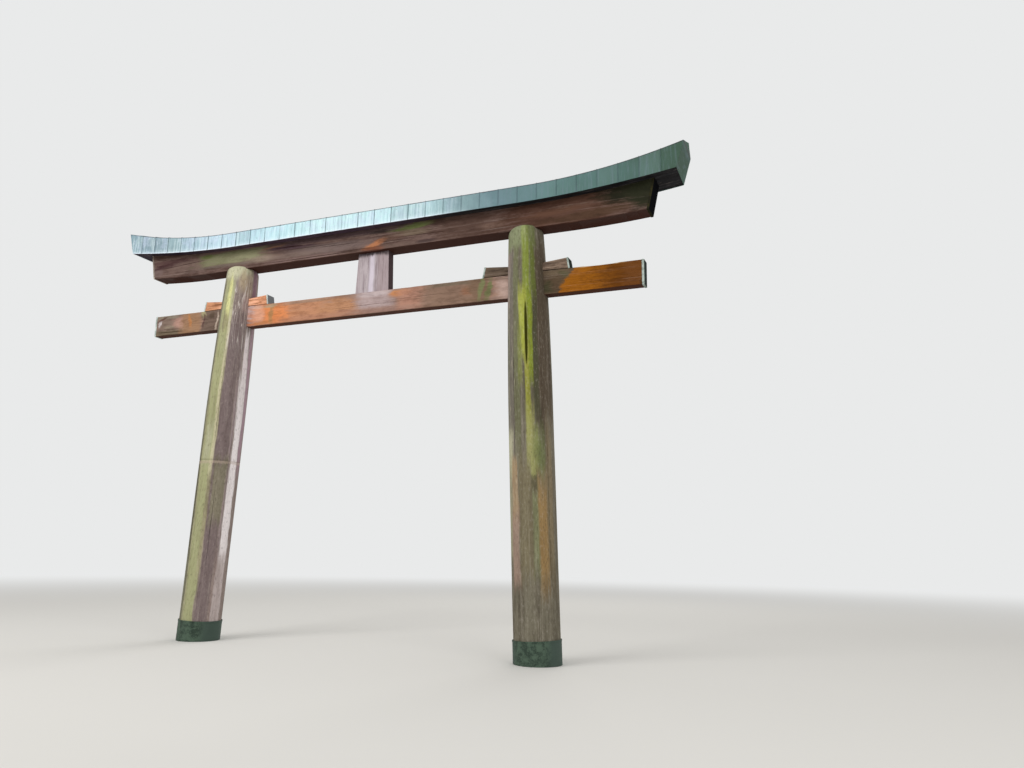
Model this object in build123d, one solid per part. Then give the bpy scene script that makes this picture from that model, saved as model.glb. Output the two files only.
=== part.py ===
from build123d import *
import os
from math import cos, radians, sin, sqrt, tan

# Timber gateway of two leaning round posts, a wedged tie beam and a curved lintel clad in copper.
# Sizes are in millimetres. The passage runs along Y, +Z is up and the origin lies on the foot
# face of the left post. Shapes are built about the gate's middle and moved there when written.

# Posts, spaced at the ground: even logs that draw in over a length below the head. The draw-in and
# the rounded shoulder are arcs, hewn in straight stretches.
post_spacing = 5900
post_diameter = 672
post_head_diameter = 552
post_taper_length = 2920
post_taper_stretches = 2
post_lean = 2.32
post_head_rise = 65
post_shoulder_radius = 110
post_shoulder_stretches = 6
post_tenon_side = 150
post_tenon_length = 120

# Sheet metal sleeve round each post's foot, with a thicker hem at its top
collar_height = 320
collar_hem_height = 22
collar_hem_proud = 4

# Tie beam through both posts, running on past the middle of each foot
tie_underside_height = 5230
tie_height = 370
tie_depth = 170
tie_overhang = 1580
tie_arris = 5

# Wedges driven in above the tie beam, from both sides of each post
wedge_end_height = 172
wedge_slope = 5
wedge_overhang = 399
wedge_end_slant = 10
wedge_tip_gap = 24

# Strut between the tie beam and the lower lintel, whose height sets the gap between them
strut_height = 680
strut_foot_width = 620
strut_head_width = 565
strut_depth = 150
strut_offset = 40
strut_tenon_width = 260
strut_tenon_depth = 56
strut_tenon_length = 70

# Lower lintel, level in the middle with an underside that rises on an arc towards each end.
# The overhang is from the middle of a foot to the lower corner, the rise length from there inwards.
lintel_height = 385
lintel_depth = 310
lintel_overhang = 1680
lintel_rise_length = 1230
lintel_rise_radius = 16000
lintel_end_slant = 11.3
lintel_arris = 8

# Roof: the top lintel in its copper, whose lower corners overhang those of the lower lintel.
# Its side height is taken in the middle and grows towards the ends, where the top rises faster.
roof_overhang = 430
roof_width = 610
roof_side_height = 265
roof_end_slant = 15.4
roof_pitch = 16
roof_seat_rise_length = 2460
roof_seat_rise_radius = 18000
roof_top_rise_length = 2260
roof_top_rise_radius = 9500
roof_lip_drop = 10
roof_hem_height = 15
roof_hem_proud = 3
roof_drip_proud = 4
ridge_cap_width = 140

# Metal sheet, and the clearances between pieces that seat on each other
sheet_thickness = 3
sheet_gap = 0.3
joint_gap = 0.5
cap_lip = 30
wedge_cap_lip = 26

# Levels and lengths that follow from the sizes above
tie_top_height = tie_underside_height + tie_height
lintel_underside_height = tie_top_height + strut_height
post_head_height = lintel_underside_height + post_head_rise
post_bend_height = post_head_height - post_taper_length
seat_height = lintel_underside_height + lintel_height
lip_height = seat_height - roof_lip_drop
eaves_height = lip_height + roof_side_height
ridge_height = eaves_height + roof_width / 2 * tan(radians(roof_pitch))
tie_length = post_spacing + 2 * tie_overhang
lintel_length = post_spacing + 2 * lintel_overhang
roof_length = lintel_length + 2 * roof_overhang
sheet_step = sheet_thickness + sheet_gap

# Shapes that are trimmed later first run on past the trimmed end by this much
overrun = 400


def post_centre(height):
    """X of the right post's axis at a height."""
    return post_spacing / 2 - height * tan(radians(post_lean))


def post_radius(height):
    """Radius of a post at a height."""
    narrowing = (post_diameter - post_head_diameter) / 2
    bow = (post_taper_length**2 + narrowing**2) / (2 * narrowing)
    rise = max(height - post_bend_height, 0)
    return post_diameter / 2 - bow + sqrt(bow**2 - rise**2)


def prism(face, depth):
    """Solid of a face drawn in X and Z, centred on the plane Y = 0."""
    return extrude(Plane.XZ * face, depth / 2, both=True)


def polygon(points):
    """Face inside a closed outline."""
    return make_face(Polyline(*points, close=True))


def slab(low, high):
    """Box between two opposite corners."""
    size = Vector(*high) - Vector(*low)
    return Pos(*low) * Box(size.X, size.Y, size.Z, align=(Align.MIN, Align.MIN, Align.MIN))


def middle_slab(x, width, depth, low, high):
    """Box centred on X = x and Y = 0, between two heights."""
    return slab((x - width / 2, -depth / 2, low), (x + width / 2, depth / 2, high))


# Posts and collars


def post_cross_section(height):
    """Plane square to the right post's axis at a height."""
    return Plane(origin=(post_centre(height), 0, height), z_dir=(-tan(radians(post_lean)), 0, 1))


def make_log():
    """The right post's plain log from below the ground to its rounded head."""
    stretch = 1 / cos(radians(post_lean))
    step = post_taper_length / post_taper_stretches
    heights = [-overrun] + [post_bend_height + step * count for count in range(post_taper_stretches)]
    rim = [(post_radius(height), (height + overrun) * stretch) for height in heights]
    head = (post_head_height + overrun) * stretch
    inset = post_radius(post_head_height) - post_shoulder_radius
    for count in range(post_shoulder_stretches + 1):
        turn = radians(90 * count / post_shoulder_stretches)
        rim.append((inset + post_shoulder_radius * cos(turn), head - post_shoulder_radius * (1 - sin(turn))))
    outline = polygon([(0, 0), *rim, (0, head)])
    return post_cross_section(-overrun) * revolve(Plane.XZ * outline, Axis.Z)


def make_sleeve(low, high, proud):
    """Cylinder on the right post's axis between two heights, standing proud of its even stretch."""
    length = (high - low) / cos(radians(post_lean))
    from_foot = (Align.CENTER, Align.CENTER, Align.MIN)
    return post_cross_section(low) * Cylinder(post_diameter / 2 + proud, length, align=from_foot)


def above_ground(shape):
    """The part of a shape that stands above the ground."""
    return shape - middle_slab(post_centre(0), post_spacing, post_spacing, -2 * overrun, 0)


def make_post():
    """Right post, its rounded head housed for the lintel, with a tenon and the tie beam's mortise."""
    x = post_centre(lintel_underside_height)
    depth = lintel_depth + 2 * joint_gap
    post = make_log() - middle_slab(x, post_spacing / 2, depth, lintel_underside_height, post_head_height + overrun)
    tenon_foot = lintel_underside_height - post_head_rise
    tenon_head = lintel_underside_height + post_tenon_length
    post += middle_slab(x, post_tenon_side, post_tenon_side, tenon_foot, tenon_head)
    return above_ground(post) - make_post_mortise()


def make_post_mortise():
    """Hole through the right post for the tie beam, with room above it for a wedge from each side."""
    x = post_centre(tie_top_height)
    reach = post_radius(0) + overrun
    outline = [(x - reach, tie_underside_height), (x + reach, tie_underside_height)]
    outline += [(x + d, wedge_top(abs(d)) + joint_gap) for d in (reach, 0, -reach)]
    return prism(polygon(outline), tie_depth + 2 * joint_gap)


def make_collar():
    """Metal sleeve round the right post's foot."""
    collar = make_sleeve(-overrun, collar_height, sheet_step)
    hem_foot = collar_height - collar_hem_height
    collar += make_sleeve(hem_foot, collar_height, sheet_step + collar_hem_proud)
    return above_ground(collar - make_sleeve(-overrun, collar_height, sheet_gap))


# Wedges, drawn for the outer side of the right post and placed from its axis at the tie beam's top


def wedge_reach():
    """Distance from the post's axis to the wedge's outer end, at its foot."""
    return post_radius(tie_top_height) + wedge_overhang


def wedge_top(distance):
    """Height of a wedge's top at a distance from the post's axis."""
    return tie_top_height + wedge_end_height - (wedge_reach() - distance) * tan(radians(wedge_slope))


def wedge_face(start, grow=0, sink=0):
    """Side of a wedge from a distance outwards, grown at its top and end, its foot sunk lower."""
    x = post_centre(tie_top_height)
    end = wedge_reach() + grow / cos(radians(wedge_end_slant))
    lift = grow / cos(radians(wedge_slope))
    slant = tan(radians(wedge_end_slant))
    rise = wedge_top(end) + lift - tie_top_height
    set_back = rise * slant / (1 + slant * tan(radians(wedge_slope)))
    corner = end - set_back
    return polygon(
        [
            (x + start, tie_top_height - sink),
            (x + end + sink * slant, tie_top_height - sink),
            (x + corner, wedge_top(corner) + lift),
            (x + start, wedge_top(start) + lift),
        ]
    )


def make_wedge():
    """Outer wedge of the right post."""
    return prism(wedge_face(wedge_tip_gap / 2), tie_depth)


def make_wedge_cap():
    """Metal cap over a wedge's outer end, standing on the tie beam."""
    cap = prism(wedge_face(0, sheet_step), tie_depth + 2 * sheet_step)
    cap -= prism(wedge_face(0, sheet_gap, overrun), tie_depth + 2 * sheet_gap)
    return cap - Pos(-wedge_cap_lip, 0, 0) * prism(wedge_face(0, sheet_step, overrun), tie_depth + overrun)


def across_post(shape):
    """The same piece on the inner side of the right post."""
    return mirror(shape, about=Plane.YZ.offset(post_centre(tie_top_height)))


# Tie beam and strut


def strut_tenon(level, gap=0):
    """Tenon of the strut on both sides of a level, or with a gap the mortise for it."""
    return middle_slab(
        strut_offset,
        strut_tenon_width + 2 * gap,
        strut_tenon_depth + 2 * gap,
        level - strut_tenon_length - gap,
        level + strut_tenon_length + gap,
    )


def make_tie_beam():
    """Squared beam through both posts, mortised for the strut."""
    beam = middle_slab(0, tie_length, tie_depth, tie_underside_height, tie_top_height)
    beam = chamfer(beam.edges().filter_by(Axis.X), tie_arris)
    return beam - strut_tenon(tie_top_height, joint_gap)


def tie_end_slab(lip, grow):
    """Box round the tie beam's right end, grown past its faces."""
    low = (tie_length / 2 - lip, -tie_depth / 2 - grow, tie_underside_height - grow)
    high = (tie_length / 2 + grow, tie_depth / 2 + grow, tie_top_height + grow)
    return slab(low, high)


def make_tie_cap():
    """Metal cap over the tie beam's right end."""
    return tie_end_slab(cap_lip, sheet_step) - tie_end_slab(cap_lip + overrun, sheet_gap)


def make_strut():
    """Tapered strut with a tenon at each end."""
    foot, head = strut_foot_width / 2, strut_head_width / 2
    outline = [
        (strut_offset - foot, tie_top_height),
        (strut_offset + foot, tie_top_height),
        (strut_offset + head, lintel_underside_height),
        (strut_offset - head, lintel_underside_height),
    ]
    strut = prism(polygon(outline), strut_depth)
    return strut + strut_tenon(tie_top_height) + strut_tenon(lintel_underside_height)


# Lines and blocks of the two lintels: a line is given as its level, straight length and end radius


def sprung_height(line, x):
    """Height at x of a line that is level in the middle and rises on an arc at each end."""
    level, straight, radius = line
    run = max(abs(x) - straight / 2, 0)
    return level + radius - sqrt(radius**2 - run**2)


def sprung_edges(line, reach):
    """Edges of such a line from -reach to reach."""
    level, straight, radius = line
    bend = straight / 2
    tip = sprung_height(line, reach)
    return [
        TangentArc((-bend, level), (-reach, tip), tangent=(-1, 0)),
        Line((-bend, level), (bend, level)),
        TangentArc((bend, level), (reach, tip), tangent=(1, 0)),
    ]


def sprung_face(lower, upper, reach):
    """Face between two such lines."""
    edges = sprung_edges(lower, reach) + sprung_edges(upper, reach)
    for x in (-reach, reach):
        edges.append(Line((x, sprung_height(lower, x)), (x, sprung_height(upper, x))))
    return make_face(edges)


def lintel_line(level):
    """Line of the lower lintel's underside."""
    return level, lintel_length - 2 * lintel_rise_length, lintel_rise_radius


def seat_line(level):
    """Line that the roof's underside and the lower lintel's top both follow."""
    return level, roof_length - 2 * roof_seat_rise_length, roof_seat_rise_radius


def roof_line(level):
    """Line that the roof's top follows."""
    return level, roof_length - 2 * roof_top_rise_length, roof_top_rise_radius


def slanted_block(corner, level, slant, grow):
    """Block with ends leaning outwards, which pass corner from the middle at a level, then grow."""
    widths = [
        corner + grow / cos(radians(slant)) + (z - level) * tan(radians(slant))
        for z in (tie_top_height, ridge_height + overrun)
    ]
    outline = [
        (-widths[0], tie_top_height),
        (widths[0], tie_top_height),
        (widths[1], ridge_height + overrun),
        (-widths[1], ridge_height + overrun),
    ]
    return prism(polygon(outline), roof_width + overrun)


# Lower lintel


def lintel_block(grow=0):
    """Block that gives the lower lintel its slanted ends."""
    corner = lintel_length / 2
    level = sprung_height(lintel_line(lintel_underside_height), corner)
    return slanted_block(corner, level, lintel_end_slant, grow)


def lintel_body(grow=0):
    """Body of the lower lintel, grown below and at its sides and ends."""
    reach = lintel_length / 2 + overrun
    face = sprung_face(lintel_line(lintel_underside_height - grow), seat_line(seat_height - sheet_gap), reach)
    return prism(face, lintel_depth + 2 * grow)


def make_lower_lintel():
    """Deep beam on the posts' heads, mortised for their tenons and the strut's."""
    beam = lintel_body()
    low_edges = [
        e
        for e in beam.edges()
        if abs(e.center().Z - lintel_underside_height) < lintel_height / 2 and abs(e.tangent_at(0.5).X) > 0.5
    ]
    beam = chamfer(low_edges, lintel_arris) & lintel_block()
    for side in (-1, 1):
        beam -= middle_slab(
            side * post_centre(lintel_underside_height),
            post_tenon_side + 2 * joint_gap,
            post_tenon_side + 2 * joint_gap,
            lintel_underside_height - overrun,
            lintel_underside_height + post_tenon_length + joint_gap,
        )
    return beam - strut_tenon(lintel_underside_height, joint_gap)


def make_lintel_cap():
    """Metal over the lower lintel's right end, turned onto its sides and underside."""
    caps = (lintel_body(sheet_step) & lintel_block(sheet_step)) - (lintel_body(sheet_gap) & lintel_block(sheet_gap))
    caps -= lintel_block(-cap_lip)
    return caps.solids().sort_by(Axis.X)[-1]


# Roof: the wide top lintel and its copper


def roof_block(grow=0):
    """Block that gives the roof its slanted ends."""
    corner = roof_length / 2
    return slanted_block(corner, sprung_height(seat_line(lip_height), corner), roof_end_slant, grow)


def roof_face(lower, upper):
    """Face between two lines, long enough for the roof to be trimmed from."""
    return sprung_face(lower, upper, roof_length / 2 + overrun)


def pitched(face, run):
    """Front and rear solids of a face at the ridge, drawn down the roof's slopes for a run in Y."""
    length = run / cos(radians(roof_pitch))
    fall = -tan(radians(roof_pitch))
    return [extrude(Plane.XZ * face, length, dir=(0, side, fall)) for side in (-1, 1)]


def roof_body(half_width, underside, drop, grow=0):
    """Body from an underside level up to a drop below the copper's top."""
    walls = prism(roof_face(seat_line(underside), roof_line(ridge_height + overrun)), half_width * 2)
    front, rear = pitched(roof_face(roof_line(tie_top_height), roof_line(ridge_height - drop)), half_width)
    return walls & (front + rear) & roof_block(grow)


def make_top_lintel():
    """Timber under the copper."""
    return roof_body(roof_width / 2 - sheet_step, seat_height, sheet_step / cos(radians(roof_pitch)))


def make_roof_side():
    """Upright front side with a hem along its lower edge."""
    top = eaves_height - sheet_step / cos(radians(roof_pitch))
    sheet = roof_face(seat_line(lip_height), roof_line(top))
    hem = roof_face(seat_line(lip_height), seat_line(lip_height + roof_hem_height))
    inner = Plane.XZ.offset(roof_width / 2 - sheet_thickness)
    side = extrude(inner * sheet, sheet_thickness) + extrude(inner * hem, sheet_thickness + roof_hem_proud)
    return side & roof_block()


def make_roof_slope():
    """Copper on the front slope, with a small drip past the side."""
    depth = sheet_thickness / cos(radians(roof_pitch))
    strip = roof_face(roof_line(ridge_height - depth), roof_line(ridge_height))
    return pitched(strip, roof_width / 2 + roof_drip_proud)[0] & roof_block()


def make_ridge_cap():
    """Folded strip over the ridge."""
    low, high = (ridge_height + step / cos(radians(roof_pitch)) for step in (sheet_gap, sheet_step))
    front, rear = pitched(roof_face(roof_line(low), roof_line(high)), ridge_cap_width / 2)
    return (front + rear) & roof_block(sheet_step)


def make_roof_end():
    """Copper over the slanted right end."""
    outer = roof_body(roof_width / 2, lip_height, 0, sheet_step)
    ends = outer - roof_body(roof_width / 2, lip_height, 0, sheet_gap)
    return ends.solids().sort_by(Axis.X)[-1]


# Writing


def write(name, shape):
    """Write a piece, moved so that the origin lies on the left post's foot."""
    export_step(Pos(post_spacing / 2, 0, 0) * shape, f"parts/{name}.step")


def write_pair(pattern, shape):
    """Write a piece of the right side and its mirror image on the left."""
    write(pattern.format("right"), shape)
    write(pattern.format("left"), mirror(shape, about=Plane.YZ))


def main():
    """Build every piece and write it."""
    os.makedirs("parts", exist_ok=True)
    write_pair("{}_post", make_post())
    write_pair("{}_post_collar", make_collar())
    write("tie_beam", make_tie_beam())
    write_pair("tie_beam_{}_cap", make_tie_cap())
    for name, piece in (("wedge", make_wedge()), ("wedge_cap", make_wedge_cap())):
        write_pair("{}_outer_" + name, piece)
        write_pair("{}_inner_" + name, across_post(piece))
    write("centre_strut", make_strut())
    write("lower_lintel", make_lower_lintel())
    write_pair("lower_lintel_{}_cap", make_lintel_cap())
    write("top_lintel", make_top_lintel())
    for name, piece in (("side", make_roof_side()), ("slope", make_roof_slope())):
        write("roof_front_" + name, piece)
        write("roof_rear_" + name, mirror(piece, about=Plane.XZ))
    write("roof_ridge_cap", make_ridge_cap())
    write_pair("roof_{}_end", make_roof_end())


main()
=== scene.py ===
"""Looks of a weathered timber gateway with a copper-clad top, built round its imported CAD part."""

import logging
import math
import random
from dataclasses import dataclass
from enum import Enum
from typing import Any, Callable, Iterable, Sequence, Union

import bmesh
import bpy
from mathutils import Matrix, Vector


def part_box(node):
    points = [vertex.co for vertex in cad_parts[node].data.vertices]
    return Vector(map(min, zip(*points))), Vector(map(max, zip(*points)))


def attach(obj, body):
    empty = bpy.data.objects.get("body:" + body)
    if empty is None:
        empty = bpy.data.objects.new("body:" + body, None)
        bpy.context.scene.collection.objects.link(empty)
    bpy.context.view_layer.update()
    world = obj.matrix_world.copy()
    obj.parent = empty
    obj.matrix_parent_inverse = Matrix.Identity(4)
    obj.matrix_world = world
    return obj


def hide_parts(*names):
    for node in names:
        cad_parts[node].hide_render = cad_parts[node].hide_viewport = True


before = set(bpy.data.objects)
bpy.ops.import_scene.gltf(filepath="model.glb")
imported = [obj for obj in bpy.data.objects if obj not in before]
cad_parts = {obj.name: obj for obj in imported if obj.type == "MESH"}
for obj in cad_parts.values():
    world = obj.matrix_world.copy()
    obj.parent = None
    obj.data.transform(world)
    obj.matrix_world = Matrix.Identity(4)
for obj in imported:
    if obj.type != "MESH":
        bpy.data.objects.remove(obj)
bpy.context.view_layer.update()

BODY = "root"

# The gateway's middle along X, the lean of its posts and the width of a copper pan
MIDDLE = 2.95
LEAN = math.radians(2.32)
SEAM_SPACING = 0.3125

# How far a surface has to face a way before the painted shade on faces that look that way begins, and is full
DOWNWARD = (-0.4, -0.9)
SIDEWAYS = (0.6, 0.9)

# How strongly bare timber reflects
WOOD_SHEEN = 0.15

Point = tuple[float, float, float]
Tint = tuple[float, float, float, float]
Piece = bpy.types.Object
Material = bpy.types.Material
logger = logging.getLogger("gateway")


class Side(Enum):
    """The two ends of the gateway, with the direction of each along X."""

    LEFT = -1
    RIGHT = 1

    @property
    def word(self) -> str:
        """Name that the CAD nodes use."""
        return self.name.lower()

    @property
    def foot(self) -> float:
        """Where that end's post stands along X."""
        return MIDDLE + self.value * MIDDLE


class Grain(Enum):
    """The way that a timber's fibres run: how they stretch its patterns and bend its stains."""

    LEVEL = ((0.3, 16.0, 16.0), (2.0, 8.0, 8.0), (0.5, 0.08))
    UPRIGHT = ((16.0, 16.0, 0.3), (8.0, 8.0, 1.6), (0.06, 0.3))
    ROUND_LOG = ((16.0, 16.0, 0.3), (8.0, 8.0, 0.8), (0.0, 0.0))

    @property
    def fibre_scale(self) -> Point:
        """Factors along the three axes that draw noise out into fibres."""
        return self.value[0]

    @property
    def blotch_scale(self) -> Point:
        """Factors along the three axes that draw noise out into short blotches."""
        return self.value[1]

    @property
    def warp(self) -> tuple[float, float]:
        """How far a stain's outline wanders along X and along Z."""
        return self.value[2]


class Blend(Enum):
    """How a colour lies over another."""

    COVER = "MIX"
    DARKEN = "MULTIPLY"


def tint(code: str) -> Tint:
    """Linear colour of a colour that is written as six hexadecimal digits.

    Args:
        code: Red, green and blue, two digits each.

    Returns:
        The colour that a shader's socket takes.
    """
    shares = [int(code[i : i + 2], 16) / 255 for i in (0, 2, 4)]
    red, green, blue = (s / 12.92 if s <= 0.04045 else ((s + 0.055) / 1.055) ** 2.4 for s in shares)
    return red, green, blue, 1.0


# Shader expressions


class Value:
    """A number that changes over a surface, on which Python's operators add Math nodes."""

    def __init__(self, recipe: "NodeTree", socket: bpy.types.NodeSocket) -> None:
        """Hold an output socket of a tree."""
        self.recipe = recipe
        self.socket = socket

    def __add__(self, other: "Number") -> "Value":
        """Sum."""
        return self.recipe.maths("ADD", self, other)

    def __sub__(self, other: "Number") -> "Value":
        """Difference."""
        return self.recipe.maths("SUBTRACT", self, other)

    def __rsub__(self, other: "Number") -> "Value":
        """Difference from a plain number."""
        return self.recipe.maths("SUBTRACT", other, self)

    def __mul__(self, other: "Number") -> "Value":
        """Product."""
        return self.recipe.maths("MULTIPLY", self, other)

    def __truediv__(self, other: "Number") -> "Value":
        """Quotient."""
        return self.recipe.maths("DIVIDE", self, other)

    def __rtruediv__(self, other: "Number") -> "Value":
        """Quotient of a plain number."""
        return self.recipe.maths("DIVIDE", other, self)

    def __abs__(self) -> "Value":
        """Size without sign."""
        return self.recipe.maths("ABSOLUTE", self)

    __radd__ = __add__
    __rmul__ = __mul__


@dataclass(frozen=True)
class Link:
    """A colour or vector that changes over a surface."""

    socket: bpy.types.NodeSocket


Number = Union[Value, float]
Colour = Union[Link, Tint]


@dataclass(frozen=True)
class Figure:
    """Noises of about 0.5 that make up a timber's figure."""

    fibres: Value
    fine: Value
    blotch: Value
    speck: Value


@dataclass(frozen=True)
class Wear:
    """How the weather marks a timber's figure."""

    shadow: str = "9c8f88"
    crevice: str = "2e211b"
    dust: str = "b3a49a"
    dusting: float = 0.3
    depth: float = 0.6


@dataclass(frozen=True)
class Stain:
    """A round patch of another colour, placed on a surface's own map.

    The map is (x, z) in metres on a beam, and (degrees round the axis, z) on a post. A stain may be
    turned by some degrees, with its right end up.
    """

    x: float
    z: float
    half_x: float
    half_z: float
    colour: str
    strength: float = 0.8
    soft: float = 0.5
    ragged: float = 0.6
    turn: float = 0.0

    def distance(self, tree: "NodeTree", near: Link) -> Value:
        """How far a place is from the middle, with the outline at 1."""
        return tree.length(near)


class Band(Stain):
    """A stain with straight sides."""

    def distance(self, tree: "NodeTree", near: Link) -> Value:
        """How far a place is from the middle, with the outline at 1."""
        across, _, up = tree.parts(near)
        return tree.maths("MAXIMUM", abs(across), abs(up))


class NodeTree:
    """Shader nodes of a material or of the world, written as expressions."""

    def __init__(self, owner: Material | bpy.types.World) -> None:
        """Start with an empty tree.

        Args:
            owner: The material or world whose tree it is.
        """
        owner.use_nodes = True
        self.tree = owner.node_tree
        self.tree.nodes.clear()

    def node(
        self, kind: str, settings: dict[str, Any] | None = None, inputs: dict[Any, Any] | None = None
    ) -> bpy.types.Node:
        """Add a node.

        Args:
            kind: The node's type.
            settings: Its own settings, set first. A ramp's stops are (position, colour) pairs.
            inputs: Values or links of its sockets, by name or number.

        Returns:
            The new node.
        """
        node = self.tree.nodes.new(kind)
        for name, value in (settings or {}).items():
            if name == "stops":
                self.set_stops(node, value)
            else:
                setattr(node, name, value)
        for name, value in (inputs or {}).items():
            if isinstance(value, (Value, Link)):
                self.tree.links.new(value.socket, node.inputs[name])
            else:
                node.inputs[name].default_value = value
        return node

    @staticmethod
    def set_stops(node: bpy.types.Node, stops: Sequence[tuple[float, Tint]]) -> None:
        """Give a ramp its stops.

        Args:
            node: The ramp.
            stops: Pairs of position and colour.
        """
        elements = node.color_ramp.elements
        while len(elements) < len(stops):
            elements.new(1.0)
        for element, (position, colour) in zip(elements, stops):
            element.position = position
            element.color = colour

    def maths(self, operation: str, *terms: Number) -> Value:
        """Add a Math node on values or plain numbers."""
        node = self.node("ShaderNodeMath", {"operation": operation}, dict(enumerate(terms)))
        return Value(self, node.outputs[0])

    def smooth(self, value: Value, low: float, high: float) -> Value:
        """Go smoothly from 0 to 1.

        Args:
            value: What it follows.
            low: Where it is 0.
            high: Where it is 1, which may be the lower of the two.

        Returns:
            The smooth value.
        """
        settings = {"interpolation_type": "SMOOTHSTEP"}
        inputs = {"Value": value, "From Min": low, "From Max": high}
        return Value(self, self.node("ShaderNodeMapRange", settings, inputs).outputs["Result"])

    def vector(self, x: Number, y: Number, z: Number) -> Link:
        """Join three numbers into a vector."""
        return Link(self.node("ShaderNodeCombineXYZ", inputs={"X": x, "Y": y, "Z": z}).outputs[0])

    def parts(self, vector: Link) -> tuple[Value, ...]:
        """Split a vector into its three numbers."""
        split = self.node("ShaderNodeSeparateXYZ", inputs={"Vector": vector})
        return tuple(Value(self, socket) for socket in split.outputs)

    def length(self, vector: Link) -> Value:
        """Length of a vector."""
        node = self.node("ShaderNodeVectorMath", {"operation": "LENGTH"}, {0: vector})
        return Value(self, node.outputs["Value"])

    def scaled(self, place: Link, factors: Point) -> Link:
        """Stretch a vector along its axes."""
        node = self.node("ShaderNodeVectorMath", {"operation": "MULTIPLY"}, {0: place, 1: factors})
        return Link(node.outputs[0])

    def noise(self, place: Link, scale: float, detail: float, roughness: float) -> Value:
        """Smooth noise of about 0.5."""
        inputs = {"Vector": place, "Scale": scale, "Detail": detail, "Roughness": roughness}
        return Value(self, self.node("ShaderNodeTexNoise", inputs=inputs).outputs[0])

    def mix(self, first: Colour, second: Colour, factor: Number, blend: Blend = Blend.COVER) -> Link:
        """Blend two colours.

        Args:
            first: The colour at a factor of 0.
            second: The colour that is blended in.
            factor: Its share.
            blend: The way of blending.

        Returns:
            The blend.
        """
        settings = {"data_type": "RGBA", "blend_type": blend.value}
        node = self.node("ShaderNodeMix", settings, {0: factor, 6: first, 7: second})
        return Link(node.outputs[2])


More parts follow.
